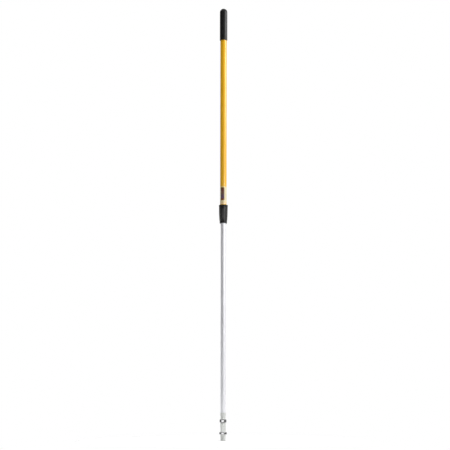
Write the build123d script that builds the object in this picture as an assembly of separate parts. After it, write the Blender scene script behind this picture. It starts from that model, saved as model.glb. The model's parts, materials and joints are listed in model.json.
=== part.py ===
from build123d import *
import os

os.makedirs("parts", exist_ok=True)

# A two-section telescoping pole with a twist lock, pulled out to its stop. Millimetres.
# The pole's axis is Z. Z = 0 is the end of the quick-connect stem, and +Z runs up to the hand grip.

# Whole pole
EXTENDED = 1829.0  # 72 in from the stem's end to the grip's end
TRAVEL = 610.0  # the inner tube slides in by this much, to 48 in closed
PRESS = 0.02  # radial clearance between pieces that are fixed to each other
RUN = 0.06  # radial clearance of a sliding or turning fit
CLEAR = 0.3  # clearance of pieces that pass each other and carry nothing
SLACK = 0.1  # clearance round a fixed piece that needn't fit closely
PAST = 1.0  # how far a cutter reaches past the face that it cuts
THROUGH = 80.0  # length of a cutter that goes right across the pole

# Tubes
OUTER_R = 13.5
OUTER_BORE = 12.7
INNER_R = 11.1
INNER_BORE = 9.9

# Hand grip and the plug that closes the outer tube
GRIP_R = 15.9
GRIP_LENGTH = 141.0
GRIP_EDGE = 1.4
GRIP_CROWN = GRIP_R - 0.05  # radius of the full round end
OUTER_TOP = EXTENDED - 17.0
END_PLUG_DEPTH = 14.0
END_PLUG_FLANGE = 1.8
END_PLUG_WALL = 2.6
END_PLUG_BOTTOM = OUTER_TOP - END_PLUG_DEPTH

# Collar as a whole. Heights inside it are counted from its bottom.
COLLAR_BOTTOM = 897.6
COLLAR_TOP = COLLAR_BOTTOM + 77.6

# Label
LABEL_BOTTOM = COLLAR_TOP + 3.0
LABEL_HEIGHT = 77.5
LABEL_THICK = 0.15
LABEL_SEAM = 6.0
LABEL_SEAM_ANGLE = 100

# Lock body: the sleeve on the outer tube's lower end that the lock nut turns on
RIM_R = 18.7
RIM_BOTTOM = COLLAR_BOTTOM + 70.0
UNDERCUT_R = 14.15
LAND_R = 14.9  # crest of the thread that carries the nut
LAND_TOP = COLLAR_BOTTOM + 63.0
OUTER_BOTTOM = COLLAR_BOTTOM + 37.0  # the outer tube stands on the lock body's inner ledge here
LEDGE_BOTTOM = COLLAR_BOTTOM + 31.0
LEDGE_BORE = INNER_R + CLEAR
BODY_BOTTOM = COLLAR_BOTTOM + 20.0
SEAT_MOUTH_R = 13.5
SEAT_TOP_R = 12.1
BODY_PIN_Z = COLLAR_BOTTOM + 51.0
BODY_PIN_R = 1.5
RIM_TOP_EDGE = 1.6
RIM_LOW_EDGE = 1.2
MOUTH_EDGE = 0.5
LAND_TOP_EDGE = 0.3
LAND_LOW_EDGE = 0.4
LEDGE_EDGE = 0.2

# Split collet and slip washer
COLLET_TOP = COLLAR_BOTTOM + 30.0
COLLET_FLANGE_TOP = COLLAR_BOTTOM + 19.4
COLLET_FLANGE_R = 13.9
COLLET_BOTTOM = COLLAR_BOTTOM + 16.2
COLLET_SLITS = 6
SLIT = 1.4
WASHER_BOTTOM = COLLAR_BOTTOM + 15.1
WASHER_R = 14.0

# Lock nut, its grip sleeve and the pieces inside it
NUT_TOP = RIM_BOTTOM - 0.6
NUT_BORE = LAND_R + 0.2
NUT_STEP = COLLAR_BOTTOM + 19.5
NUT_CAVITY_R = 14.2
NUT_FLOOR = COLLAR_BOTTOM + 15.0
NUT_BORE_FLOOR = LEDGE_BORE + SLACK
NUT_BAND_TOP = COLLAR_BOTTOM + 9.0
NUT_BAND_R = 15.4
NUT_EDGE = 0.9
BELLY_Z = (NUT_BAND_TOP, COLLAR_BOTTOM + 15.5, COLLAR_BOTTOM + 28.0, COLLAR_BOTTOM + 45.0, NUT_TOP)
NUT_CORE_R = (14.8, 15.6, 16.1, 16.5, 16.7)
SLEEVE_R = (15.7, 16.6, 17.4, 18.0, 18.35)
FLUTES = 16
FLUTE_R = 2.2
FLUTE_DEPTH = 0.35
FLUTE_TOP_GAP = 5.0
FLUTE_LOW_LIFT = 0.2  # the flute gets this much shallower at its lower end
SNAP_TOP = COLLAR_BOTTOM + 67.9
SNAP_BOTTOM = COLLAR_BOTTOM + 65.4
SNAP_IN = UNDERCUT_R + 0.2
SNAP_OUT = 16.35
POCKET_R = 13.6
POCKET_TOP = COLLAR_BOTTOM + 7.5
SEAL_BOTTOM = COLLAR_BOTTOM + 3.5
SEAL_LIP_HEIGHT = 1.2
SEAL_LIP_FLARE = 1.0
RETAINER_RECESS = 0.4
RETAINER_EDGE = 0.4

# Stop bush: the inner tube's lower guide, which lands on the ledge at full extension
STOP_BOTTOM = OUTER_BOTTOM + CLEAR
STOP_LENGTH = 24.7
STOP_PIN_Z = OUTER_BOTTOM + 12.0
PIN_R = 1.5

# Inner tube and what its upper end carries
INNER_BOTTOM = 103.5
PLUG_SHANK = 20.0
PLUG_FLANGE = 2.0
SPINDLE_R = 8.5
BUSH_LENGTH = 13.4
BUSH_SLIT = 2.0
BUMPER_R = 10.5
BUMPER_HEIGHT = 9.5
BUMPER_FLOOR = 2.0
BUMPER_GAP = 0.5  # left between the bumper and the end plug when the pole is closed
BUMPER_EDGE = 1.5
BUMPER_MOUTH = 0.5
BUMPER_TOP = END_PLUG_BOTTOM - TRAVEL - BUMPER_GAP
BUMPER_BOTTOM = BUMPER_TOP - BUMPER_HEIGHT
SPINDLE_TOP = BUMPER_BOTTOM - PLUG_FLANGE
SPINDLE_BOTTOM = SPINDLE_TOP - BUSH_LENGTH - 2 * CLEAR
INNER_TOP = SPINDLE_BOTTOM - PLUG_FLANGE
END_PLUG_PIN_Z = INNER_TOP - PLUG_SHANK / 2
BUMPER_SCREW_R = 2.0
BUMPER_HEAD_R = 4.0
BUMPER_HEAD_HEIGHT = 2.6
BUMPER_HEAD_EDGE = 0.8
BUMPER_TIP_GAP = 1.0
CROSS_LENGTH = 4.6
CROSS_WIDTH = 1.0
CROSS_DEPTH = 1.5

# Quick-connect stem
SHANK_TOP = INNER_BOTTOM + 43.0
SHANK_EDGE = 1.0
STEM_PIN_Z = INNER_BOTTOM + 5.5
STEM_PIN_R = 2.0
STEM_PIN_RECESS = 0.25  # keeps the pin's ends inside the ferrule
FERRULE_BOTTOM = INNER_BOTTOM - 3.0
FERRULE_TOP = INNER_BOTTOM + 10.0
FERRULE_R = 12.0
FERRULE_EDGES = (0.3, 0.8, 0.7, 0.1)  # inner lip, lower rim, upper rim, mouth
NECK_R = 10.85
CORE_R = 8.5  # spindle that carries the rings
CORE_BOTTOM = 14.0
CORE_EDGE = 0.5
GUIDE_BOTTOM = 73.3
GUIDE_TOP = 85.8
GUIDE_R = 13.9
GUIDE_EDGE = 1.8
LATCH_BOTTOM = 25.5
LATCH_TOP = 34.2
LATCH_R = 15.25
LATCH_EDGE = 1.0
SPACER_R = 10.75
SPACER_BULGE_R = 11.35
BULGE_BOTTOM = 56.0
BULGE_TOP = 68.0
BULGE_RAMP = 4.0
NOSE_R = 10.9
NOSE_ROUND = 3.5
NOSE_GROOVE = (9.0, 10.4)
NOSE_GROOVE_R = 10.0
GROOVE_EDGE = 0.3
COUNTERBORE_EDGE = 0.6
SCREW_R = 3.0
SCREW_HEAD_R = 5.0
SCREW_HEAD_BOTTOM = 1.5
SCREW_SEAT = 7.0
SCREW_TOP = 33.0
SCREW_HOLE_TOP = 36.0
SCREW_HEAD_EDGE = 0.5
HEX_AF = 5.0
HEX_DEPTH = 3.0


def turned(points, radii=0.0):
    """Solid of revolution about Z from a closed outline of (radius, z) corners, each with its own fillet."""
    outline = FilletPolyline(*points, radius=radii, close=True)
    return revolve(make_face(Plane.XZ * outline), Axis.Z)


def tube(r_in, r_out, z_low, z_high):
    """Plain ring or tube with square ends."""
    return turned([(r_in, z_low), (r_out, z_low), (r_out, z_high), (r_in, z_high)])


def rod(radius, z_low, z_high):
    """Plain cylinder on the pole's axis."""
    return Pos(0, 0, (z_low + z_high) / 2) * Cylinder(radius, z_high - z_low)


def cross_rod(radius, length, z, axis="X"):
    """Cylinder across the pole, centred on its axis."""
    turn = Rot(0, 90, 0) if axis == "X" else Rot(90, 0, 0)
    return Pos(0, 0, z) * turn * Cylinder(radius, length)


def slot(width, reach, z_low, z_high, angle):
    """Radial blade from the axis outwards, for cutting a slit."""
    blade = Pos(reach / 2, 0, (z_low + z_high) / 2) * Box(reach, width, z_high - z_low)
    return Rot(0, 0, angle) * blade


def outer_tube():
    body = tube(OUTER_BORE, OUTER_R, OUTER_BOTTOM, OUTER_TOP)
    return body - cross_rod(BODY_PIN_R + PRESS, THROUGH, BODY_PIN_Z)


def hand_grip():
    bottom = EXTENDED - GRIP_LENGTH
    bore = OUTER_R + PRESS
    skin = rod(GRIP_R, bottom, EXTENDED)
    skin = fillet(skin.edges().group_by(Axis.Z)[-1], GRIP_CROWN)
    skin = fillet(skin.edges().group_by(Axis.Z)[0], GRIP_EDGE)
    return skin - rod(bore, bottom - PAST, OUTER_TOP + END_PLUG_FLANGE + PRESS)


def grip_end_plug():
    shank = OUTER_BORE - PRESS
    flange = OUTER_R - SLACK
    top = OUTER_TOP + END_PLUG_FLANGE
    plug = turned(
        [
            (0, END_PLUG_BOTTOM),
            (shank, END_PLUG_BOTTOM),
            (shank, OUTER_TOP),
            (flange, OUTER_TOP),
            (flange, top),
            (0, top),
        ]
    )
    return plug - rod(shank - END_PLUG_WALL, END_PLUG_BOTTOM + END_PLUG_WALL, top + PAST)


def label():
    """Thin wrap round the outer tube, open along a narrow seam."""
    top = LABEL_BOTTOM + LABEL_HEIGHT
    wrap = tube(OUTER_R, OUTER_R + LABEL_THICK, LABEL_BOTTOM, top)
    return wrap - slot(LABEL_SEAM, 2 * OUTER_R, LABEL_BOTTOM - PAST, top + PAST, LABEL_SEAM_ANGLE)


def lock_body():
    seat = OUTER_R + PRESS
    body = turned(
        [
            (seat, COLLAR_TOP),
            (RIM_R, COLLAR_TOP),
            (RIM_R, RIM_BOTTOM),
            (UNDERCUT_R, RIM_BOTTOM),
            (UNDERCUT_R, LAND_TOP),
            (LAND_R, LAND_TOP),
            (LAND_R, BODY_BOTTOM),
            (SEAT_MOUTH_R, BODY_BOTTOM),
            (SEAT_TOP_R, LEDGE_BOTTOM),
            (LEDGE_BORE, LEDGE_BOTTOM),
            (LEDGE_BORE, OUTER_BOTTOM),
            (seat, OUTER_BOTTOM),
        ],
        [MOUTH_EDGE, RIM_TOP_EDGE, RIM_LOW_EDGE, 0, 0, LAND_TOP_EDGE, LAND_LOW_EDGE, 0, 0, LEDGE_EDGE, 0, 0],
    )
    return body - cross_rod(BODY_PIN_R + PRESS, THROUGH, BODY_PIN_Z)


def body_pins():
    """Two rivets, one each side, that go through the lock body and the outer tube's wall."""
    inside = OUTER_BORE + PRESS
    outside = LAND_R - SLACK
    pin = Rot(0, 90, 0) * Cylinder(BODY_PIN_R, outside - inside)
    middle = (inside + outside) / 2
    return Compound(children=[Pos(side * middle, 0, BODY_PIN_Z) * pin for side in (-1, 1)])


def seat_radius(z):
    """Radius of the lock body's conical seat at a height."""
    slope = (SEAT_MOUTH_R - SEAT_TOP_R) / (LEDGE_BOTTOM - BODY_BOTTOM)
    return SEAT_MOUTH_R - slope * (z - BODY_BOTTOM)


def split_collet():
    bore = INNER_R + RUN
    cone_bottom = seat_radius(COLLET_FLANGE_TOP) - RUN
    cone_top = seat_radius(COLLET_TOP) - RUN
    cone = turned(
        [
            (bore, COLLET_BOTTOM),
            (COLLET_FLANGE_R, COLLET_BOTTOM),
            (COLLET_FLANGE_R, COLLET_FLANGE_TOP),
            (cone_bottom, COLLET_FLANGE_TOP),
            (cone_top, COLLET_TOP),
            (bore, COLLET_TOP),
        ]
    )
    for i in range(COLLET_SLITS):
        low = COLLET_BOTTOM - PAST if i == 0 else COLLET_FLANGE_TOP
        cone -= slot(SLIT, 2 * COLLET_FLANGE_R, low, COLLET_TOP + PAST, i * 360 / COLLET_SLITS)
    return cone


def slip_washer():
    return tube(LEDGE_BORE, WASHER_R, WASHER_BOTTOM, COLLET_BOTTOM - PRESS)


def lock_nut():
    core = list(zip(NUT_CORE_R, BELLY_Z))
    bottom = [
        (NUT_BORE_FLOOR, POCKET_TOP),
        (POCKET_R, POCKET_TOP),
        (POCKET_R, COLLAR_BOTTOM),
        (NUT_BAND_R, COLLAR_BOTTOM),
        (NUT_BAND_R, NUT_BAND_TOP),
    ]
    inside = [
        (NUT_BORE, NUT_TOP),
        (NUT_BORE, NUT_STEP),
        (NUT_CAVITY_R, NUT_STEP),
        (NUT_CAVITY_R, NUT_FLOOR),
        (NUT_BORE_FLOOR, NUT_FLOOR),
    ]
    corners = bottom + core + inside
    radii = [0.0] * len(corners)
    radii[corners.index((NUT_BAND_R, COLLAR_BOTTOM))] = NUT_EDGE
    nut = turned(corners, radii)
    return nut - tube(NUT_BORE - PAST, SNAP_OUT + PRESS, SNAP_BOTTOM - SLACK, SNAP_TOP + SLACK)


def flute_cutter():
    """Round bar with ball ends that leans along the sleeve's side and cuts one flute."""
    offset = FLUTE_R - FLUTE_DEPTH
    start = Vector(SLEEVE_R[1] + offset + FLUTE_LOW_LIFT, 0, BELLY_Z[1])
    end = Vector(SLEEVE_R[-1] + offset, 0, BELLY_Z[-1] - FLUTE_TOP_GAP)
    run = end - start
    bar = Plane(origin=start, z_dir=run) * Pos(0, 0, run.length / 2) * Cylinder(FLUTE_R, run.length)
    return bar + Pos(*start) * Sphere(FLUTE_R) + Pos(*end) * Sphere(FLUTE_R)


def nut_grip_sleeve():
    """Soft sleeve moulded on the nut, with lengthwise flutes for the fingers."""
    belly = list(zip(SLEEVE_R, BELLY_Z))
    core = list(zip(NUT_CORE_R, BELLY_Z))
    inside = Polyline(belly[-1], *reversed(core), belly[0])
    sleeve = revolve(make_face(Plane.XZ * (Spline(*belly) + inside)), Axis.Z)
    cutter = flute_cutter()
    for i in range(FLUTES):
        sleeve -= Rot(0, 0, i * 360 / FLUTES) * cutter
    return sleeve


def nut_retaining_ring():
    ring = tube(SNAP_IN, SNAP_OUT, SNAP_BOTTOM, SNAP_TOP)
    return ring - slot(2 * SLIT, 2 * SNAP_OUT, SNAP_BOTTOM - PAST, SNAP_TOP + PAST, 90)


def wiper_seal():
    """Ring whose inner edge is a lip on the inner tube."""
    lip = INNER_R + RUN
    return turned(
        [
            (lip, SEAL_BOTTOM),
            (POCKET_R - PRESS, SEAL_BOTTOM),
            (POCKET_R - PRESS, POCKET_TOP - PRESS),
            (lip + SEAL_LIP_FLARE, POCKET_TOP - PRESS),
            (lip, SEAL_BOTTOM + SEAL_LIP_HEIGHT),
        ]
    )


def seal_retainer():
    low = COLLAR_BOTTOM + RETAINER_RECESS
    corners = [
        (LEDGE_BORE, low),
        (POCKET_R - PRESS, low),
        (POCKET_R - PRESS, SEAL_BOTTOM - PRESS),
        (LEDGE_BORE, SEAL_BOTTOM - PRESS),
    ]
    return turned(corners, [RETAINER_EDGE, 0, 0, 0])


def stop_bush():
    bush = tube(INNER_R + PRESS, OUTER_BORE - RUN, STOP_BOTTOM, STOP_BOTTOM + STOP_LENGTH)
    return bush - cross_rod(PIN_R + PRESS, THROUGH, STOP_PIN_Z)


def stop_bush_pin():
    return cross_rod(PIN_R, 2 * (OUTER_BORE - CLEAR), STOP_PIN_Z)


def inner_tube():
    body = tube(INNER_BORE, INNER_R, INNER_BOTTOM, INNER_TOP)
    body -= cross_rod(PIN_R + PRESS, THROUGH, STOP_PIN_Z)
    body -= cross_rod(PIN_R + PRESS, THROUGH, END_PLUG_PIN_Z, "Y")
    return body - cross_rod(STEM_PIN_R + PRESS, THROUGH, STEM_PIN_Z)


def inner_end_plug():
    shank = INNER_BORE - PRESS
    plug = turned(
        [
            (0, INNER_TOP - PLUG_SHANK),
            (shank, INNER_TOP - PLUG_SHANK),
            (shank, INNER_TOP),
            (INNER_R - SLACK, INNER_TOP),
            (INNER_R - SLACK, SPINDLE_BOTTOM),
            (SPINDLE_R, SPINDLE_BOTTOM),
            (SPINDLE_R, SPINDLE_TOP),
            (BUMPER_R, SPINDLE_TOP),
            (BUMPER_R, BUMPER_BOTTOM),
            (0, BUMPER_BOTTOM),
        ]
    )
    plug -= cross_rod(PIN_R + PRESS, THROUGH, END_PLUG_PIN_Z, "Y")
    return plug - rod(BUMPER_SCREW_R + PRESS, SPINDLE_BOTTOM, BUMPER_BOTTOM + PAST)


def end_plug_pin():
    return cross_rod(PIN_R, 2 * (INNER_R - SLACK), END_PLUG_PIN_Z, "Y")


def guide_bush():
    low = SPINDLE_BOTTOM + CLEAR
    bush = tube(SPINDLE_R + RUN, OUTER_BORE - RUN, low, low + BUSH_LENGTH)
    return bush - slot(BUSH_SLIT, 2 * OUTER_R, low - PAST, low + BUSH_LENGTH + PAST, 0)


def end_bumper():
    corners = [
        (BUMPER_SCREW_R + PRESS, BUMPER_BOTTOM),
        (BUMPER_R, BUMPER_BOTTOM),
        (BUMPER_R, BUMPER_TOP),
        (BUMPER_HEAD_R + CLEAR, BUMPER_TOP),
        (BUMPER_HEAD_R + CLEAR, BUMPER_BOTTOM + BUMPER_FLOOR),
        (BUMPER_SCREW_R + PRESS, BUMPER_BOTTOM + BUMPER_FLOOR),
    ]
    return turned(corners, [0, 0, BUMPER_EDGE, BUMPER_MOUTH, 0, 0])


def bumper_screw():
    """Pan-head screw with a cross recess."""
    seat = BUMPER_BOTTOM + BUMPER_FLOOR + PRESS
    top = seat + BUMPER_HEAD_HEIGHT
    head = rod(BUMPER_HEAD_R, seat, top)
    head = fillet(head.edges().group_by(Axis.Z)[-1], BUMPER_HEAD_EDGE)
    blade = Box(CROSS_LENGTH, CROSS_WIDTH, 2 * CROSS_DEPTH)
    recess = Pos(0, 0, top) * (blade + Rot(0, 0, 90) * blade)
    return head + rod(BUMPER_SCREW_R, SPINDLE_BOTTOM + BUMPER_TIP_GAP, seat) - recess


def stem_body():
    shank = INNER_BORE - PRESS
    stem = turned(
        [
            (0, CORE_BOTTOM),
            (CORE_R, CORE_BOTTOM),
            (CORE_R, GUIDE_TOP),
            (NECK_R, GUIDE_TOP),
            (NECK_R, INNER_BOTTOM),
            (shank, INNER_BOTTOM),
            (shank, SHANK_TOP),
            (0, SHANK_TOP),
        ],
        [0, CORE_EDGE, 0, 0, 0, 0, SHANK_EDGE, 0],
    )
    stem -= cross_rod(STEM_PIN_R + PRESS, THROUGH, STEM_PIN_Z)
    return stem - rod(SCREW_R + PRESS, CORE_BOTTOM - PAST, SCREW_HOLE_TOP)


def stem_pin():
    return cross_rod(STEM_PIN_R, 2 * (INNER_R - STEM_PIN_RECESS), STEM_PIN_Z)


def tube_ferrule():
    """Cap ring on the tube's end, with an inner lip that closes the joint to the neck."""
    lip = NECK_R + PRESS
    grip = INNER_R + PRESS
    corners = [
        (lip, FERRULE_BOTTOM),
        (FERRULE_R, FERRULE_BOTTOM),
        (FERRULE_R, FERRULE_TOP),
        (grip, FERRULE_TOP),
        (grip, INNER_BOTTOM - PRESS),
        (lip, INNER_BOTTOM - PRESS),
    ]
    return turned(corners, [*FERRULE_EDGES, 0, 0])


def guide_collar():
    """Ring that steadies the stem in a socket's mouth."""
    bore = CORE_R + PRESS
    corners = [(bore, GUIDE_BOTTOM), (GUIDE_R, GUIDE_BOTTOM), (GUIDE_R, GUIDE_TOP), (bore, GUIDE_TOP)]
    return turned(corners, [0, GUIDE_EDGE, GUIDE_EDGE, 0])


def stem_spacer():
    """Sleeve that keeps the two rings apart, with a low bulge under the upper ring."""
    bore = CORE_R + PRESS
    corners = [
        (bore, LATCH_TOP),
        (SPACER_R, LATCH_TOP),
        (SPACER_R, BULGE_BOTTOM - BULGE_RAMP),
        (SPACER_BULGE_R, BULGE_BOTTOM),
        (SPACER_BULGE_R, BULGE_TOP),
        (SPACER_R, GUIDE_BOTTOM),
        (bore, GUIDE_BOTTOM),
    ]
    return turned(corners, [0, 0, BULGE_RAMP, BULGE_RAMP, BULGE_RAMP, 0, 0])


def latch_collar():
    """Ring that a socket's latch hooks behind."""
    bore = CORE_R + PRESS
    corners = [(bore, LATCH_BOTTOM), (LATCH_R, LATCH_BOTTOM), (LATCH_R, LATCH_TOP), (bore, LATCH_TOP)]
    return turned(corners, [0, LATCH_EDGE, LATCH_EDGE, 0])


def nose_cap():
    bore = CORE_R + PRESS
    groove_low, groove_high = NOSE_GROOVE
    return turned(
        [
            (SCREW_HEAD_R + CLEAR, 0),
            (NOSE_R, 0),
            (NOSE_R, groove_low),
            (NOSE_GROOVE_R, groove_low),
            (NOSE_GROOVE_R, groove_high),
            (NOSE_R, groove_high),
            (NOSE_R, LATCH_BOTTOM),
            (bore, LATCH_BOTTOM),
            (bore, CORE_BOTTOM - PRESS),
            (SCREW_R + SLACK, CORE_BOTTOM - PRESS),
            (SCREW_R + SLACK, SCREW_SEAT),
            (SCREW_HEAD_R + CLEAR, SCREW_SEAT),
        ],
        [COUNTERBORE_EDGE, NOSE_ROUND, GROOVE_EDGE, 0, 0, GROOVE_EDGE, 0, 0, 0, 0, 0, 0],
    )


def nose_screw():
    head = rod(SCREW_HEAD_R, SCREW_HEAD_BOTTOM, SCREW_SEAT - PRESS)
    head = fillet(head.edges().group_by(Axis.Z)[0], SCREW_HEAD_EDGE)
    socket = Pos(0, 0, SCREW_HEAD_BOTTOM) * extrude(
        RegularPolygon(HEX_AF / 2, 6, major_radius=False), HEX_DEPTH
    )
    return head + rod(SCREW_R, SCREW_SEAT - PRESS, SCREW_TOP) - socket


PIECES = (
    outer_tube,
    hand_grip,
    grip_end_plug,
    label,
    lock_body,
    body_pins,
    split_collet,
    slip_washer,
    lock_nut,
    nut_grip_sleeve,
    nut_retaining_ring,
    wiper_seal,
    seal_retainer,
    stop_bush,
    stop_bush_pin,
    inner_tube,
    inner_end_plug,
    end_plug_pin,
    guide_bush,
    end_bumper,
    bumper_screw,
    stem_body,
    stem_pin,
    tube_ferrule,
    guide_collar,
    stem_spacer,
    latch_collar,
    nose_cap,
    nose_screw,
)

for make in PIECES:
    export_step(make(), f"parts/{make.__name__}.step")
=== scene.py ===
import json
import math

import bmesh
import bpy
from mathutils import Matrix, Vector


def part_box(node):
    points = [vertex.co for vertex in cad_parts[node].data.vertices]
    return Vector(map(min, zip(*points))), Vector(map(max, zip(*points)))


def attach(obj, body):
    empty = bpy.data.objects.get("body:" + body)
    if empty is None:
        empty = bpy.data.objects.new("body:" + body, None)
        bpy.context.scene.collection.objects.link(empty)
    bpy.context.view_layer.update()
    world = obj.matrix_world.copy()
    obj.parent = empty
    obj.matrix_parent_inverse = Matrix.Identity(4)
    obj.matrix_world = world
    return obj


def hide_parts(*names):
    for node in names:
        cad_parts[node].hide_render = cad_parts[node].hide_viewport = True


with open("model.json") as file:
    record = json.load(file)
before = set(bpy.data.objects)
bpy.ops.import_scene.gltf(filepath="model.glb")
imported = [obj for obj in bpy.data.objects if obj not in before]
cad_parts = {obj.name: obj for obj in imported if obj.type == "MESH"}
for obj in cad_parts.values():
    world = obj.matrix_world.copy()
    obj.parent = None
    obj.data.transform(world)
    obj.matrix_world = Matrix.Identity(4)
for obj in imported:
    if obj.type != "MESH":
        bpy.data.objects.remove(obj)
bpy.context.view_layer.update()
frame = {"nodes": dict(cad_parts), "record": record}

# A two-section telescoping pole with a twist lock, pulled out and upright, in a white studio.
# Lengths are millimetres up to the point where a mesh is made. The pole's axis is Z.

MM = 0.001
BODY = {node: body for body, nodes in frame["record"]["behaviour"]["bodies"].items() for node in nodes}
SLOT = {row["node"]: row["material_slot"] for row in frame["record"]["subparts"]}

# Fineness of the meshes
SEGMENTS = 96  # round a turned piece
GRIP_SEGMENTS = 4 * SEGMENTS  # enough for the narrow parting line
DRILL_SEGMENTS = 32
FLUTE_SEGMENTS = 24  # round one flute and the land beside it
SLEEVE_STEPS = 24  # along the sleeve, between two knots
LABEL_COLUMNS = 128
LABEL_ROWS = 10
LONGEST_SPAN = 24.0  # between rings along a straight side
SUPPORT = 0.5  # distance of the ring that keeps a long side's shading flat next to a rounded corner
FILLET_STEP = math.radians(12)
SHARP = math.radians(35)
SLIVER = 0.001  # faces and edges smaller than this are removed round a drilled hole

# Fits
PRESS = 0.02  # clearance of pieces fixed to each other

# Tubes and the pins' holes through them
OUTER_WALL = 0.8
INNER_WALL = 1.2
TUBE_EDGE = 0.2
HOLE_SLACK = 0.02
DRILL_HALF = 60.0  # half of the drill's length, which reaches past both sides of the pole

# Hand grip
GRIP_EDGE = 1.4
GRIP_MOUTH = 0.5
GRIP_CEILING_EDGE = 0.8
GRIP_CROWN_FLAT = 0.05  # radius of the tiny flat left at the crown
SEAM_HEIGHT = 0.04  # the mould's parting line, at two sides
SEAM_HALF_WIDTH = 0.35

# Label
LABEL_GAP = 6.0
LABEL_GAP_ANGLE = math.radians(100)
LABEL_CORNER = 3.0

# Lock. Heights are counted from the nut's lower face.
RIM_BOTTOM = 70.0
LAND_TOP = 63.0
LEDGE_BOTTOM = 31.0
NUT_TOP = 69.4
NUT_STEP = 19.5
NUT_FLOOR = 15.0
NUT_BAND_TOP = 9.0
POCKET_TOP = 7.5
SNAP_GROOVE = (65.3, 68.0)
UNDERCUT_R = 14.15
LAND_R = 14.9
SEAT_MOUTH_R = 13.5
SEAT_TOP_R = 12.1
LEDGE_BORE = 11.4
MOUTH_EDGE = 0.5
RIM_TOP_EDGE = 1.6
RIM_LOW_EDGE = 1.2
LAND_TOP_EDGE = 0.3
LAND_LOW_EDGE = 0.4
LEDGE_EDGE = 0.2
NUT_BORE = 15.1
NUT_CAVITY_R = 14.2
NUT_FLOOR_BORE = 11.5
NUT_BAND_R = 15.4
POCKET_R = 13.6
SNAP_GROOVE_R = 16.37
POCKET_EDGE = 0.4
NUT_EDGE = 0.9
NUT_BAND_EDGE = 0.25
BELLY_Z = (NUT_BAND_TOP, 15.5, 28.0, 45.0, NUT_TOP)
NUT_CORE_R = (14.8, 15.6, 16.1, 16.5, 16.7)
SLEEVE_R = (15.7, 16.6, 17.4, 18.0, 18.35)
SLEEVE_LEAST = 0.9  # thinnest wall
SLEEVE_LOW_EDGE = 0.15
SLEEVE_TOP_EDGE = 0.5
FLUTES = 16
FLUTE_R = 2.2
FLUTE_SPREAD = 1.2  # a flute's soft edges reach this much wider than its round cutter would
FLUTE_SPAN = (15.5, 64.4)
FLUTE_FLOOR = (16.45, 18.0)  # a flute's bottom is straight between these radii
FLUTE_RUNOUT = 1.6

# Stem. Heights are counted from its end.
NECK_R = 10.85
NECK_EDGE = 0.3
SHANK_EDGE = 1.0
FERRULE_LIP_EDGE = 0.3
FERRULE_LOW_EDGE = 0.8
FERRULE_TOP_EDGE = 0.7
FERRULE_MOUTH_EDGE = 0.1
CORE_R = 8.5
CORE_BOTTOM = 14.0
CORE_EDGE = 0.5
GUIDE_EDGE = 1.8
SPACER_R = 10.75
BULGE = (56.0, 68.0)
BULGE_RAMP = 4.0
LATCH_EDGE = 1.0
NOSE_ROUND = 3.5
NOSE_GROOVE = (9.0, 10.4)
NOSE_GROOVE_R = 10.0
NOSE_GROOVE_EDGE = 0.3
SCREW_R = 3.0
SCREW_SLACK = 0.1
SCREW_HOLE_TOP = 36.0
SCREW_SEAT = 7.0
COUNTERBORE_R = 5.3
COUNTERBORE_EDGE = 0.6

# Label's print. Across is measured round the tube from its front, positive to the right, and up is measured
# from the label's lower edge.
PRINT_SOFTNESS = 0.3
PANEL_ACROSS = (-11.4, 3.4)
PANEL_UP = (15.8, 70.8)
PANEL_SOFTNESS = 0.25
SIDE_STRIP_ACROSS = (3.4, 6.6)
SIDE_STRIP_UP = (17, 69)
RULES_ACROSS = (7.6, 17)
RULES_UP = (20, 66)
RULE_PITCH = 5.2
RULE_HALF_WIDTH = 0.45
RULE_SOFTNESS = 0.2
PEACH_FADE = (2, 16)
GOLD_FADE = (70, 73)

# Studio, in metres and degrees. An azimuth is counted from the front, positive to the right.
FLOOR_RADIUS = 0.6
FLOOR_SEGMENTS = 96
CAMERA_PLACE = (0.0079, -5.0, 0.2)
CAMERA_UPTILT = 7.867
CAMERA_ROLL = -0.071
LENS = 96.3
SENSOR = 36.0

# Room that the pieces mirror. Heights are the upward part of a direction of length 1, and levels are
# brightness, where 1 is the white background's.
GROUND_TOP = (-0.45, -0.25)
STRIP = (-0.06, -0.01)
STRIP_SOFTNESS = 0.008
HIGH_WALL_FROM = (0.09, 0.145)
CEILING_FROM = (0.60, 0.85)
GROUND_LEVEL = 0.25
CEILING_LEVEL = 0.8
STRIP_LEVELS = (
    (-180, 0.8),
    (-145, 0.4),
    (-125, 0.03),
    (-80, 0.03),
    (-55, 2.0),
    (-40, 5.0),
    (10, 5.0),
    (32, 0.9),
    (45, 0.03),
    (100, 0.03),
    (140, 0.4),
    (180, 0.8),
)
LOW_WALL_LEVELS = (
    (-180, 1.2),
    (-140, 1.8),
    (-105, 1.6),
    (-65, 0.35),
    (-20, 0.15),
    (10, 0.25),
    (45, 1.2),
    (100, 1.5),
    (180, 1.2),
)
HIGH_WALL_LEVELS = (
    (-180, 0.35),
    (-155, 0.05),
    (-100, 0.02),
    (-40, 0.03),
    (20, 0.08),
    (100, 0.2),
    (140, 0.4),
    (180, 0.35),
)


# ---------------------------------------------------------------- turned meshes


def reach(node):
    """Lowest z, highest z and outer radius of a CAD node at rest."""
    low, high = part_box(node)
    radius = max(math.hypot(v.co.x, v.co.y) for v in frame["nodes"][node].data.vertices)
    return low.z / MM, high.z / MM, radius / MM


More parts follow.
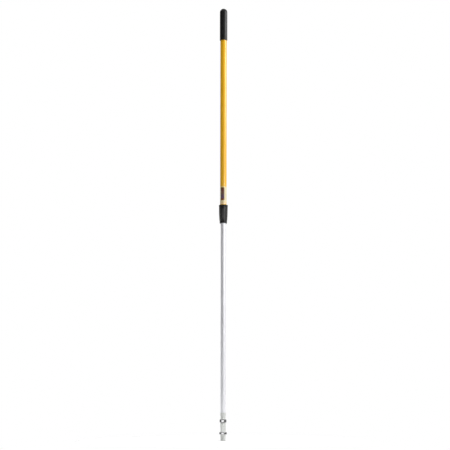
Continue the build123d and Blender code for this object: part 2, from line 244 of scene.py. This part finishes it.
def rounded(before, corner, after, radius):
    """Points of the arc that rounds one corner of an outline."""
    here = Vector(corner)
    back = (Vector(before) - here).normalized()
    ahead = (Vector(after) - here).normalized()
    half = back.angle(ahead) / 2
    centre = here + (back + ahead).normalized() * (radius / math.sin(half))
    start = here + back * (radius / math.tan(half)) - centre
    end = here + ahead * (radius / math.tan(half)) - centre
    turn = math.atan2(start.cross(end), start.dot(end))
    steps = max(2, math.ceil(abs(turn) / FILLET_STEP))
    return [centre + Matrix.Rotation(turn * i / steps, 2) @ start for i in range(steps + 1)]


def outline(corners):
    """Closed outline from (radius, z) or (radius, z, fillet) corners, with rings added on long sides."""
    points = []
    for i, corner in enumerate(corners):
        if len(corner) == 3:
            after = corners[(i + 1) % len(corners)]
            points += rounded(corners[i - 1][:2], corner[:2], after[:2], corner[2])
        else:
            points.append(Vector(corner))
    divided = []
    for here, there in zip(points, points[1:] + points[:1]):
        length = (there - here).length
        divided.append(here)
        on_axis = here.x == 0 and there.x == 0
        if length > 4 * SUPPORT and not on_axis:
            parts = max(1, math.ceil(length / LONGEST_SPAN))
            places = [SUPPORT] + [length * k / parts for k in range(1, parts)] + [length - SUPPORT]
            divided += [here.lerp(there, place / length) for place in places]
    return divided


def smooth_line(knots, steps):
    """Points of a Catmull-Rom curve through (radius, z) knots."""
    knots = [Vector(k) for k in knots]
    padded = [2 * knots[0] - knots[1], *knots, 2 * knots[-1] - knots[-2]]
    line = []
    for a, b, c, d in zip(padded, padded[1:], padded[2:], padded[3:]):
        for t in (i / steps for i in range(steps)):
            linear = (c - a) * t
            square = (2 * a - 5 * b + 4 * c - d) * t**2
            cube = (3 * b - a - 3 * c + d) * t**3
            line.append((2 * b + linear + square + cube) / 2)
    return [tuple(p) for p in line + [knots[-1]]]


def interpolated(x, places, values):
    """Value at x on straight lines between the given places."""
    x = min(max(x, places[0]), places[-1])
    for a, b, low, high in zip(places, places[1:], values, values[1:]):
        if x <= b:
            return low + (high - low) * (x - a) / (b - a)


def shade(mesh):
    mesh.shade_smooth()
    mesh.set_sharp_from_angle(angle=SHARP)


def mesh_piece(name, points, faces):
    """Object from points in millimetres."""
    mesh = bpy.data.meshes.new(name)
    mesh.from_pydata([Vector(p) * MM for p in points], [], faces)
    shade(mesh)
    piece = bpy.data.objects.new(name, mesh)
    bpy.context.scene.collection.objects.link(piece)
    return piece


def lathe(name, corners, segments=SEGMENTS, shaped=None):
    """Closed solid of revolution from an outline. shaped(angle, radius, z) returns a changed radius."""
    profile = outline(corners)
    doubled_area = sum(a.cross(b) for a, b in zip(profile, profile[1:] + profile[:1]))
    if doubled_area < 0:
        profile.reverse()
    points, rings = [], []
    for radius, z in profile:
        if radius == 0:
            rings.append([len(points)] * segments)
            points.append((0, 0, z))
            continue
        rings.append(list(range(len(points), len(points) + segments)))
        for i in range(segments):
            angle = 2 * math.pi * i / segments
            r = shaped(angle, radius, z) if shaped else radius
            points.append((r * math.cos(angle), r * math.sin(angle), z))
    faces = []
    for here, there in zip(rings, rings[1:] + rings[:1]):
        for i in range(segments):
            j = (i + 1) % segments
            face = list(dict.fromkeys((here[i], here[j], there[j], there[i])))
            if len(face) > 2:
                faces.append(face)
    return mesh_piece(name, points, faces)


def tube_outline(bore, radius, low, high):
    """Corners of a tube with both rims rounded."""
    places = ((bore, low), (radius, low), (radius, high), (bore, high))
    return [(*place, TUBE_EDGE) for place in places]


def ring_outline(bore, radius, low, high, edge):
    """Corners of a ring that is rounded outside only."""
    return [(bore, low), (radius, low, edge), (radius, high, edge), (bore, high)]


def drill(piece, pin, axis):
    """Cross hole right through a piece for a pin."""
    low, high, _ = reach(pin)
    radius = (high - low) / 2 + HOLE_SLACK
    corners = [(0, -DRILL_HALF), (radius, -DRILL_HALF), (radius, DRILL_HALF), (0, DRILL_HALF)]
    bar = lathe("drill", corners, DRILL_SEGMENTS)
    bar.data.transform(Matrix.Rotation(math.pi / 2, 4, "Y" if axis == "X" else "X"))
    bar.data.transform(Matrix.Translation((0, 0, (low + high) / 2 * MM)))
    cut = piece.modifiers.new("hole", "BOOLEAN")
    cut.object = bar
    cut.solver = "EXACT"
    solid = bpy.data.meshes.new_from_object(piece.evaluated_get(bpy.context.evaluated_depsgraph_get()))
    clean = bmesh.new()
    clean.from_mesh(solid)
    bmesh.ops.dissolve_degenerate(clean, dist=SLIVER * MM, edges=clean.edges)
    clean.to_mesh(solid)
    clean.free()
    piece.modifiers.clear()
    piece.data = solid
    shade(solid)
    bpy.data.objects.remove(bar)


# ---------------------------------------------------------------- material helpers


def principled(name, **uniform):
    """New material. The uniform values sit on the shader's own sockets."""
    material = bpy.data.materials.new(name)
    material.use_nodes = True
    shader = material.node_tree.nodes["Principled BSDF"]
    for socket, value in uniform.items():
        shader.inputs[socket.replace("_", " ")].default_value = value
    return material, material.node_tree, shader


def node(tree, kind, inputs=(), **settings):
    """New shader node. inputs pairs a socket's name or number with a value or with another node's output."""
    made = tree.nodes.new(kind)
    for key, value in settings.items():
        setattr(made, key, value)
    for key, value in inputs:
        if isinstance(value, bpy.types.NodeSocket):
            tree.links.new(value, made.inputs[key])
        else:
            made.inputs[key].default_value = value
    return made


def noise(tree, grain, detail=2.0, roughness=0.5, stretch=(1, 1, 1)):
    """Noise in object space with blobs of about grain millimetres, longer where stretch is under 1."""
    where = node(tree, "ShaderNodeTexCoord").outputs["Object"]
    mapped = node(tree, "ShaderNodeMapping", [("Vector", where), ("Scale", stretch)]).outputs[0]
    inputs = [("Vector", mapped), ("Scale", 1 / (grain * MM)), ("Detail", detail), ("Roughness", roughness)]
    return node(tree, "ShaderNodeTexNoise", inputs).outputs["Fac"]


def remap(tree, value, low, high, out_low=0.0, out_high=1.0):
    """value from low..high to out_low..out_high, held at both ends."""
    inputs = [(0, value), (1, low), (2, high), (3, out_low), (4, out_high)]
    return node(tree, "ShaderNodeMapRange", inputs).outputs[0]


def calc(tree, operation, first, second=0.0):
    return node(tree, "ShaderNodeMath", [(0, first), (1, second)], operation=operation).outputs[0]


def rgba(colour):
    """Adds the fourth number to an RGB triple, and leaves a node's output as it is."""
    return colour if isinstance(colour, bpy.types.NodeSocket) else (*colour, 1.0)


def mix(tree, share, first, second):
    """Colour from first to second. A colour is an RGB triple or another node's output."""
    inputs = [(0, share), (6, rgba(first)), (7, rgba(second))]
    return node(tree, "ShaderNodeMix", inputs, data_type="RGBA").outputs[2]


def band(tree, value, low, high, soft):
    """1 where value lies between low and high, with soft edges."""
    rise = remap(tree, value, low - soft / 2, low + soft / 2)
    fall = remap(tree, value, high - soft / 2, high + soft / 2, 1.0, 0.0)
    return calc(tree, "MULTIPLY", rise, fall)


def drive(tree, output, shader, socket):
    """Feeds a node's output to one of the shader's sockets."""
    tree.links.new(output, shader.inputs[socket])


def relief(tree, shader, height, depth, under=None):
    """Adds bumps of a depth in millimetres to the shader's normal, over the ones under it."""
    inputs = [("Height", height), ("Distance", depth * MM)]
    if under:
        inputs.append(("Normal", under))
    normal = node(tree, "ShaderNodeBump", inputs).outputs[0]
    drive(tree, normal, shader, "Normal")
    return normal


def colour_stops(ramp, stops):
    """Sets a colour ramp from (place, RGB) pairs."""
    while len(ramp.elements) < len(stops):
        ramp.elements.new(0.5)
    for element, (place, colour) in zip(ramp.elements, stops):
        element.position = place
        element.color = (*colour, 1.0)


# ---------------------------------------------------------------- materials


def yellow_coat():
    """Glossy powder coat: orange peel, a slow drift of shade, dark specks, and rubbing along the tube."""
    material, tree, shader = principled("yellow_coat", Coat_Weight=0.3, Coat_Roughness=0.12)
    drift = remap(tree, noise(tree, 60, 3, stretch=(1, 1, 0.25)), 0.3, 0.7)
    paint = mix(tree, drift, (0.86, 0.46, 0.010), (0.81, 0.42, 0.008))
    specks = calc(tree, "MULTIPLY", remap(tree, noise(tree, 0.9, 1), 0.70, 0.80), 0.3)
    paint = mix(tree, specks, paint, (0.55, 0.26, 0.01))
    drive(tree, paint, shader, "Base Color")
    lines = remap(tree, noise(tree, 0.8, 3, stretch=(1, 1, 0.012)), 0.50, 0.75)
    patches = remap(tree, noise(tree, 25, 3, 0.6, stretch=(1, 1, 0.4)), 0.45, 0.70)
    rubbed = calc(tree, "MULTIPLY", lines, patches)
    drive(tree, remap(tree, rubbed, 0, 1, 0.30, 0.48), shader, "Roughness")
    peel = relief(tree, shader, noise(tree, 1.7, 1), 0.05)
    relief(tree, shader, rubbed, 0.004, peel)
    return material


def bare_aluminium():
    """Drawn tube: fine bright and dull lines along it, and a soft cloudy sheen."""
    material, tree, shader = principled("bare_aluminium", Metallic=0.65)
    lines = noise(tree, 0.35, 3, 0.6, stretch=(1, 1, 0.004))
    clouds = noise(tree, 30, 3, stretch=(1, 1, 0.3))
    clean = mix(tree, remap(tree, clouds, 0.3, 0.7), (0.84, 0.84, 0.87), (0.78, 0.78, 0.81))
    dull = calc(tree, "MULTIPLY", remap(tree, lines, 0.48, 0.66), 0.55)
    drive(tree, mix(tree, dull, clean, (0.52, 0.52, 0.54)), shader, "Base Color")
    sheen = calc(tree, "ADD", calc(tree, "MULTIPLY", lines, 0.6), calc(tree, "MULTIPLY", clouds, 0.4))
    drive(tree, remap(tree, sheen, 0.3, 0.7, 0.36, 0.56), shader, "Roughness")
    relief(tree, shader, lines, 0.02)
    return material


def turned_metal(name, clean, stained, roughness, metallic=1.0, depth=0.01):
    """Metal off a lathe: fine bright and dull rings round the axis, and faint stains."""
    material, tree, shader = principled(name, Metallic=metallic)
    rings = noise(tree, 0.25, 3, 0.6, stretch=(0.004, 0.004, 1))
    stains = remap(tree, noise(tree, 9, 4, 0.6), 0.45, 0.80)
    share = calc(tree, "ADD", calc(tree, "MULTIPLY", stains, 0.4), remap(tree, rings, 0.42, 0.68, 0.0, 0.6))
    drive(tree, mix(tree, share, clean, stained), shader, "Base Color")
    drive(tree, remap(tree, rings, 0.3, 0.7, 0.9 * roughness, 1.4 * roughness), shader, "Roughness")
    relief(tree, shader, rings, depth)
    return material


def moulded(name, colour, worn, roughness, grain, depth, specular=0.3):
    """Moulded plastic or rubber: spark-eroded grain, scuffs, and edges rubbed lighter."""
    material, tree, shader = principled(name, Specular_IOR_Level=specular)
    edges = remap(tree, node(tree, "ShaderNodeNewGeometry").outputs["Pointiness"], 0.53, 0.64)
    scuffs = calc(tree, "MULTIPLY", remap(tree, noise(tree, 7, 4, 0.65), 0.48, 0.72), 0.3)
    rubbed = calc(tree, "MULTIPLY", calc(tree, "MAXIMUM", edges, scuffs), 0.4)
    drive(tree, mix(tree, rubbed, colour, worn), shader, "Base Color")
    mottle = noise(tree, 4, 3)
    drive(tree, remap(tree, mottle, 0.3, 0.7, roughness - 0.05, roughness + 0.08), shader, "Roughness")
    relief(tree, shader, noise(tree, grain, 2), depth)
    return material


def white_acetal():
    """Slightly translucent bearing plastic."""
    material, tree, shader = principled("white_acetal", Subsurface_Weight=0.15)
    shader.inputs["Subsurface Radius"].default_value = (0.002, 0.002, 0.002)
    mottle = noise(tree, 5, 3)
    drive(tree, mix(tree, mottle, (0.80, 0.79, 0.75), (0.72, 0.71, 0.66)), shader, "Base Color")
    drive(tree, remap(tree, mottle, 0.3, 0.7, 0.32, 0.46), shader, "Roughness")
    relief(tree, shader, noise(tree, 0.6), 0.01)
    return material


def printed_label():
    """Cream sticker with a dark panel in coloured bands, a tinted side strip and plain ruled lines.

    It has no lettering. It turns peach at its lower edge and gold at its upper one."""
    bottom, _, radius = reach("label")
    material, tree, shader = principled("printed_label", Coat_Weight=0.3, Coat_Roughness=0.15)
    place = node(tree, "ShaderNodeTexCoord").outputs["Object"]
    x, y, z = node(tree, "ShaderNodeSeparateXYZ", [(0, place)]).outputs
    azimuth = calc(tree, "ARCTAN2", x, calc(tree, "MULTIPLY", y, -1.0))
    across = calc(tree, "MULTIPLY", azimuth, radius)
    up = calc(tree, "SUBTRACT", calc(tree, "DIVIDE", z, MM), bottom)

    def patch(across_span, up_span, softness=PRINT_SOFTNESS):
        """1 inside a rectangle on the label."""
        sideways = band(tree, across, *across_span, softness)
        return calc(tree, "MULTIPLY", sideways, band(tree, up, *up_span, softness))

    peach, cream, gold = (0.84, 0.62, 0.34), (0.72, 0.64, 0.39), (0.80, 0.54, 0.15)
    grey, brown = (0.42, 0.33, 0.19), (0.34, 0.24, 0.13)
    ink = mix(tree, remap(tree, up, *PEACH_FADE), peach, cream)
    ink = mix(tree, remap(tree, up, *GOLD_FADE), ink, gold)
    from_rule = calc(tree, "PINGPONG", up, RULE_PITCH / 2)
    rule_edge = (RULE_HALF_WIDTH - RULE_SOFTNESS / 2, RULE_HALF_WIDTH + RULE_SOFTNESS / 2)
    rules = remap(tree, from_rule, *rule_edge, 1.0, 0.0)
    rules = calc(tree, "MULTIPLY", rules, patch(RULES_ACROSS, RULES_UP))
    ink = mix(tree, calc(tree, "MULTIPLY", rules, 0.75), ink, grey)
    ink = mix(tree, calc(tree, "MULTIPLY", patch(SIDE_STRIP_ACROSS, SIDE_STRIP_UP), 0.6), ink, brown)

    bands = node(tree, "ShaderNodeValToRGB", [(0, remap(tree, up, *PANEL_UP))])
    stops = (
        (0.00, (0.28, 0.085, 0.004)),
        (0.12, (0.17, 0.055, 0.010)),
        (0.20, (0.10, 0.045, 0.110)),
        (0.42, (0.12, 0.060, 0.090)),
        (0.55, (0.15, 0.085, 0.045)),
        (0.78, (0.18, 0.050, 0.040)),
        (0.90, (0.14, 0.050, 0.004)),
    )
    colour_stops(bands.color_ramp, stops)
    panel = patch(PANEL_ACROSS, PANEL_UP, PANEL_SOFTNESS)
    drive(tree, mix(tree, panel, ink, bands.outputs[0]), shader, "Base Color")
    drive(tree, remap(tree, noise(tree, 9, 3), 0.3, 0.7, 0.28, 0.40), shader, "Roughness")
    relief(tree, shader, noise(tree, 14), 0.05)
    return material


def grip_rubber():
    colour, worn = (0.002, 0.002, 0.0022), (0.03, 0.03, 0.032)
    return moulded("grip_rubber", colour, worn, roughness=0.40, grain=0.45, depth=0.03, specular=0.42)


def black_nylon():
    colour, worn = (0.003, 0.003, 0.003), (0.05, 0.05, 0.05)
    return moulded("black_nylon", colour, worn, roughness=0.38, grain=0.35, depth=0.01)


def soft_black_rubber():
    colour, worn = (0.003, 0.003, 0.003), (0.04, 0.04, 0.04)
    return moulded("soft_black_rubber", colour, worn, roughness=0.31, grain=0.5, depth=0.01, specular=0.45)


def stem_aluminium():
    clean, stained = (0.70, 0.71, 0.69), (0.48, 0.50, 0.48)
    return turned_metal("stem_aluminium", clean, stained, roughness=0.32, metallic=0.75, depth=0.015)


def dark_steel():
    clean, stained = (0.31, 0.31, 0.315), (0.20, 0.20, 0.205)
    return turned_metal("dark_steel", clean, stained, roughness=0.10, depth=0.001)


def steel_fasteners():
    clean, stained = (0.55, 0.55, 0.56), (0.45, 0.45, 0.47)
    return turned_metal("steel_fasteners", clean, stained, roughness=0.28)


MATERIAL_MAKERS = (
    yellow_coat,
    grip_rubber,
    black_nylon,
    soft_black_rubber,
    white_acetal,
    bare_aluminium,
    stem_aluminium,
    dark_steel,
    steel_fasteners,
    printed_label,
)
MATERIAL = {make.__name__: make() for make in MATERIAL_MAKERS}


# ---------------------------------------------------------------- pieces, each named after its CAD node


def outer_tube():
    """Coated tube, with the hole for the pins of the lock body."""
    low, high, radius = reach("outer_tube")
    bore = radius - OUTER_WALL
    tube = lathe("coated_tube", tube_outline(bore, radius, low, high))
    drill(tube, "body_pins", "X")
    return tube


def hand_grip():
    """Sleeve with a full round end and the mould's faint parting line down two sides."""
    low, high, radius = reach("hand_grip")
    bore = reach("outer_tube")[2] + PRESS
    ceiling = reach("grip_end_plug")[1] + PRESS
    skin = radius - SEAM_HEIGHT

    def with_seam(angle, r, z):
        off_seam = abs(math.sin(angle)) * r
        if r < bore + GRIP_MOUTH or off_seam > SEAM_HALF_WIDTH:
            return r
        return r + SEAM_HEIGHT * math.cos(off_seam / SEAM_HALF_WIDTH * math.pi / 2)

    corners = [
        (0, ceiling),
        (bore, ceiling, GRIP_CEILING_EDGE),
        (bore, low, GRIP_MOUTH),
        (skin, low, GRIP_EDGE),
        (skin, high, skin - GRIP_CROWN_FLAT),
        (0, high),
    ]
    return lathe("grip_skin", corners, GRIP_SEGMENTS, with_seam)


def label():
    """Thin sticker with rounded corners, wrapped round the tube and open along a narrow gap."""
    low, high, outside = reach("label")
    inside = reach("outer_tube")[2]
    gap = LABEL_GAP / 2 / inside
    first = LABEL_GAP_ANGLE + gap
    sweep = 2 * math.pi - 2 * gap
    columns, rows = LABEL_COLUMNS, LABEL_ROWS
    points, sheets = [], []
    for radius in (inside, outside):
        sheet = []
        for i in range(columns + 1):
            share = (1 - math.cos(math.pi * i / columns)) / 2  # columns crowd towards the round corners
            from_end = min(share, 1 - share) * sweep * inside
            off = max(0.0, LABEL_CORNER - from_end)
            trim = LABEL_CORNER - math.sqrt(LABEL_CORNER**2 - off**2)
            angle = first + sweep * share
            sheet.append(list(range(len(points), len(points) + rows + 1)))
            for j in range(rows + 1):
                z = low + trim + (high - low - 2 * trim) * j / rows
                points.append((radius * math.cos(angle), radius * math.sin(angle), z))
        sheets.append(sheet)
    back, front = sheets
    faces = []
    for i in range(columns):
        for j in range(rows):
            faces.append((front[i][j], front[i + 1][j], front[i + 1][j + 1], front[i][j + 1]))
            faces.append((back[i][j], back[i][j + 1], back[i + 1][j + 1], back[i + 1][j]))
        faces.append((front[i][0], back[i][0], back[i + 1][0], front[i + 1][0]))
        faces.append((front[i][-1], front[i + 1][-1], back[i + 1][-1], back[i][-1]))
    for j in range(rows):
        faces.append((front[0][j], front[0][j + 1], back[0][j + 1], back[0][j]))
        faces.append((front[-1][j], back[-1][j], back[-1][j + 1], front[-1][j + 1]))
    return mesh_piece("label_sticker", points, faces)


def lock_body():
    """Collar fixed on the tube: the rim shows, and the sleeve that the nut turns on is inside it."""
    low, high, rim = reach("lock_body")
    base = reach("lock_nut")[0]
    ledge = reach("outer_tube")[0]
    seat = reach("outer_tube")[2] + PRESS
    corners = [
        (seat, high, MOUTH_EDGE),
        (rim, high, RIM_TOP_EDGE),
        (rim, base + RIM_BOTTOM, RIM_LOW_EDGE),
        (UNDERCUT_R, base + RIM_BOTTOM),
        (UNDERCUT_R, base + LAND_TOP),
        (LAND_R, base + LAND_TOP, LAND_TOP_EDGE),
        (LAND_R, low, LAND_LOW_EDGE),
        (SEAT_MOUTH_R, low),
        (SEAT_TOP_R, base + LEDGE_BOTTOM),
        (LEDGE_BORE, base + LEDGE_BOTTOM, LEDGE_EDGE),
        (LEDGE_BORE, ledge),
        (seat, ledge),
    ]
    body = lathe("lock_rim_body", corners)
    drill(body, "body_pins", "X")
    return body


def lock_nut():
    """Rigid nut under the grip sleeve, with the seal's pocket below and the snap ring's groove above."""
    base = reach("lock_nut")[0]
    core = [(r, base + z) for r, z in zip(NUT_CORE_R, BELLY_Z)]
    groove_low, groove_high = (base + z for z in SNAP_GROOVE)
    corners = [
        (NUT_FLOOR_BORE, base + POCKET_TOP),
        (POCKET_R, base + POCKET_TOP),
        (POCKET_R, base, POCKET_EDGE),
        (NUT_BAND_R, base, NUT_EDGE),
        (NUT_BAND_R, base + NUT_BAND_TOP, NUT_BAND_EDGE),
        *core,
        (NUT_BORE, base + NUT_TOP),
        (NUT_BORE, groove_high),
        (SNAP_GROOVE_R, groove_high),
        (SNAP_GROOVE_R, groove_low),
        (NUT_BORE, groove_low),
        (NUT_BORE, base + NUT_STEP),
        (NUT_CAVITY_R, base + NUT_STEP),
        (NUT_CAVITY_R, base + NUT_FLOOR),
        (NUT_FLOOR_BORE, base + NUT_FLOOR),
    ]
    return lathe("lock_nut_shell", corners)


def nut_grip_sleeve():
    """Soft sleeve on the nut, with lengthwise flutes for the fingers."""
    base = reach("lock_nut")[0]
    outside = smooth_line([(r, base + z) for r, z in zip(SLEEVE_R, BELLY_Z)], SLEEVE_STEPS)
    inside = [(r, base + z) for r, z in zip(NUT_CORE_R, BELLY_Z)]
    low_rim, top_rim = (*outside[0], SLEEVE_LOW_EDGE), (*outside[-1], SLEEVE_TOP_EDGE)
    corners = [low_rim, *outside[1:-1], top_rim, *reversed(inside)]
    pitch = 2 * math.pi / FLUTES
    flute_low, flute_high = (base + z for z in FLUTE_SPAN)

    def fluted(angle, r, z):
        core_r = interpolated(z - base, BELLY_Z, NUT_CORE_R)
        depth = r - interpolated(z - base, FLUTE_SPAN, FLUTE_FLOOR)
        if r < core_r + SLEEVE_LEAST / 2 or depth <= 0:
            return r
        half_width = FLUTE_SPREAD * math.sqrt(depth * (2 * FLUTE_R - depth))
        off_centre = abs((angle + pitch / 2) % pitch - pitch / 2) * r
        past_end = max(flute_low - z, z - flute_high, 0.0)
        if off_centre > half_width or past_end > FLUTE_RUNOUT:
            return r
        across = (1 + math.cos(math.pi * off_centre / half_width)) / 2
        along = (1 + math.cos(math.pi * past_end / FLUTE_RUNOUT)) / 2
        return r - depth * across * along

    return lathe("fluted_sleeve", corners, FLUTE_SEGMENTS * FLUTES, fluted)


def inner_tube():
    """Bare tube, with the holes for its three pins."""
    low, high, radius = reach("inner_tube")
    bore = radius - INNER_WALL
    tube = lathe("bare_tube", tube_outline(bore, radius, low, high))
    drill(tube, "stem_pin", "X")
    drill(tube, "stop_bush_pin", "X")
    drill(tube, "end_plug_pin", "Y")
    return tube


def stem_body():
    """Shank inside the tube, the neck below it, and the spindle that carries the rings."""
    guide_top = reach("guide_collar")[1]
    tube_low, _, tube_r = reach("inner_tube")
    shank = tube_r - INNER_WALL - PRESS
    top = reach("stem_body")[1]
    hole = SCREW_R + PRESS
    corners = [
        (hole, CORE_BOTTOM),
        (CORE_R, CORE_BOTTOM, CORE_EDGE),
        (CORE_R, guide_top),
        (NECK_R, guide_top, NECK_EDGE),
        (NECK_R, tube_low),
        (shank, tube_low),
        (shank, top, SHANK_EDGE),
        (0, top),
        (0, SCREW_HOLE_TOP),
        (hole, SCREW_HOLE_TOP),
    ]
    stem = lathe("turned_stem", corners)
    drill(stem, "stem_pin", "X")
    return stem


def tube_ferrule():
    """Thin cover over the tube's end and the stem's pin."""
    low, high, radius = reach("tube_ferrule")
    tube_low, _, tube_r = reach("inner_tube")
    lip, grip, step = NECK_R + PRESS, tube_r + PRESS, tube_low - PRESS
    corners = [
        (lip, low, FERRULE_LIP_EDGE),
        (radius, low, FERRULE_LOW_EDGE),
        (radius, high, FERRULE_TOP_EDGE),
        (grip, high, FERRULE_MOUTH_EDGE),
        (grip, step),
        (lip, step),
    ]
    return lathe("end_ferrule", corners)


def guide_collar():
    """Upper ring, with soft edges."""
    low, high, radius = reach("guide_collar")
    return lathe("guide_ring", ring_outline(CORE_R + PRESS, radius, low, high, GUIDE_EDGE))


def stem_spacer():
    """Sleeve between the rings, with a slight bulge."""
    low, high, bulge_r = reach("stem_spacer")
    bore = CORE_R + PRESS
    corners = [
        (bore, high),
        (bore, low),
        (SPACER_R, low),
        (SPACER_R, BULGE[0] - BULGE_RAMP, BULGE_RAMP),
        (bulge_r, BULGE[0], BULGE_RAMP),
        (bulge_r, BULGE[1], BULGE_RAMP),
        (SPACER_R, high),
    ]
    return lathe("ring_spacer", corners)


def latch_collar():
    """Lower, larger ring, which a socket's latch hooks behind."""
    low, high, radius = reach("latch_collar")
    return lathe("latch_ring", ring_outline(CORE_R + PRESS, radius, low, high, LATCH_EDGE))


def nose_cap():
    """End cap with a counterbore for the screw and a fine groove near its end."""
    low, high, radius = reach("nose_cap")
    bore = CORE_R + PRESS
    hole = SCREW_R + SCREW_SLACK
    floor = CORE_BOTTOM - PRESS
    corners = [
        (COUNTERBORE_R, low, COUNTERBORE_EDGE),
        (radius, low, NOSE_ROUND),
        (radius, NOSE_GROOVE[0], NOSE_GROOVE_EDGE),
        (NOSE_GROOVE_R, NOSE_GROOVE[0]),
        (NOSE_GROOVE_R, NOSE_GROOVE[1]),
        (radius, NOSE_GROOVE[1], NOSE_GROOVE_EDGE),
        (radius, high),
        (bore, high),
        (bore, floor),
        (hole, floor),
        (hole, SCREW_SEAT),
        (COUNTERBORE_R, SCREW_SEAT),
    ]
    return lathe("stem_nose", corners)


REPLACED = (
    outer_tube,
    hand_grip,
    label,
    lock_body,
    lock_nut,
    nut_grip_sleeve,
    inner_tube,
    stem_body,
    tube_ferrule,
    guide_collar,
    stem_spacer,
    latch_collar,
    nose_cap,
)


def finish_with_slot(piece, cad_node):
    piece.data.materials.clear()
    piece.data.materials.append(MATERIAL[SLOT[cad_node]])


for make in REPLACED:
    cad_node = make.__name__
    piece = make()
    finish_with_slot(piece, cad_node)
    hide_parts(cad_node)
    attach(piece, BODY[cad_node])

for cad_node in sorted(set(frame["nodes"]) - {make.__name__ for make in REPLACED}):
    finish_with_slot(frame["nodes"][cad_node], cad_node)


# ---------------------------------------------------------------- studio


def studio_floor():
    """Round pale floor with a soft mottle."""
    material, tree, shader = principled("studio_floor", Roughness=0.8)
    mottle = noise(tree, 300, 3)
    drive(tree, mix(tree, mottle, (0.95, 0.95, 0.95), (0.92, 0.92, 0.92)), shader, "Base Color")
    mesh = bpy.data.meshes.new("studio_floor")
    angles = [2 * math.pi * i / FLOOR_SEGMENTS for i in range(FLOOR_SEGMENTS)]
    rim = [(FLOOR_RADIUS * math.cos(a), FLOOR_RADIUS * math.sin(a), 0) for a in angles]
    mesh.from_pydata(rim, [], [range(FLOOR_SEGMENTS)])
    mesh.materials.append(material)
    floor = bpy.data.objects.new("studio_floor", mesh)
    bpy.context.scene.collection.objects.link(floor)


def softbox(name, azimuth, distance, low, high, width, level):
    """Upright area lamp that faces the pole. level is its brightness, where 1 is the white background's."""
    lamp = bpy.data.lights.new(name, "AREA")
    lamp.shape = "RECTANGLE"
    lamp.size = width
    lamp.size_y = high - low
    lamp.energy = level * math.pi * width * (high - low)
    holder = bpy.data.objects.new(name, lamp)
    angle = math.radians(azimuth)
    holder.location = (distance * math.sin(angle), -distance * math.cos(angle), (low + high) / 2)
    holder.rotation_euler = (math.pi / 2, 0, angle)
    holder.visible_camera = False
    bpy.context.scene.collection.objects.link(holder)


def ceiling_softbox(height, width, level):
    """Lamp above the pole that whitens the floor."""
    lamp = bpy.data.lights.new("ceiling_softbox", "AREA")
    lamp.size = width
    lamp.energy = level * math.pi * width**2
    holder = bpy.data.objects.new("ceiling_softbox", lamp)
    holder.location = (0, 0, height)
    holder.visible_camera = False
    holder.visible_glossy = False
    bpy.context.scene.collection.objects.link(holder)


def wall(tree, turn, levels):
    """Brightness round the room from (azimuth in degrees, level) pairs."""
    ramp = node(tree, "ShaderNodeValToRGB", [(0, turn)])
    colour_stops(ramp.color_ramp, [((degrees + 180) / 360, (level,) * 3) for degrees, level in levels])
    return ramp.outputs[0]


def studio_world():
    """Room with bright sides, dim in front, and dim all round higher up. The camera itself sees plain white.

    The narrow strip just under eye level is what the polished rings mirror."""
    world = bpy.data.worlds.new("studio")
    bpy.context.scene.world = world
    world.use_nodes = True
    tree = world.node_tree
    tree.nodes.clear()
    place = node(tree, "ShaderNodeTexCoord").outputs["Generated"]
    x, y, z = node(tree, "ShaderNodeSeparateXYZ", [(0, place)]).outputs
    azimuth = calc(tree, "ARCTAN2", x, calc(tree, "MULTIPLY", y, -1.0))
    turn = remap(tree, azimuth, -math.pi, math.pi)
    strip = wall(tree, turn, STRIP_LEVELS)
    low = wall(tree, turn, LOW_WALL_LEVELS)
    high = wall(tree, turn, HIGH_WALL_LEVELS)
    room = mix(tree, remap(tree, z, *GROUND_TOP), (GROUND_LEVEL,) * 3, low)
    room = mix(tree, band(tree, z, *STRIP, STRIP_SOFTNESS), room, strip)
    room = mix(tree, remap(tree, z, *HIGH_WALL_FROM), room, high)
    room = mix(tree, remap(tree, z, *CEILING_FROM), room, (CEILING_LEVEL,) * 3)
    lit = node(tree, "ShaderNodeBackground", [("Color", room)])
    seen = node(tree, "ShaderNodeBackground", [("Color", (1, 1, 1, 1))])
    straight = node(tree, "ShaderNodeLightPath").outputs["Is Camera Ray"]
    both = node(tree, "ShaderNodeMixShader", [(0, straight), (1, lit.outputs[0]), (2, seen.outputs[0])])
    node(tree, "ShaderNodeOutputWorld", [("Surface", both.outputs[0])])


def studio_camera():
    """Low camera that looks a little up, so that the whole pole just fills the picture's height."""
    camera = bpy.data.cameras.new("camera")
    camera.sensor_width = SENSOR
    camera.lens = LENS
    holder = bpy.data.objects.new("camera", camera)
    holder.location = CAMERA_PLACE
    holder.rotation_euler = (math.radians(90 + CAMERA_UPTILT), math.radians(CAMERA_ROLL), 0)
    bpy.context.scene.collection.objects.link(holder)
    bpy.context.scene.camera = holder


studio_floor()
studio_world()
softbox("key_softbox", azimuth=35, distance=3.2, low=1.05, high=1.70, width=0.50, level=24)
softbox("side_softbox", azimuth=80, distance=3.0, low=1.9, high=3.9, width=2.2, level=7.5)
ceiling_softbox(height=4.6, width=3.0, level=3.6)
studio_camera()
bpy.context.scene.view_settings.view_transform = "Standard"
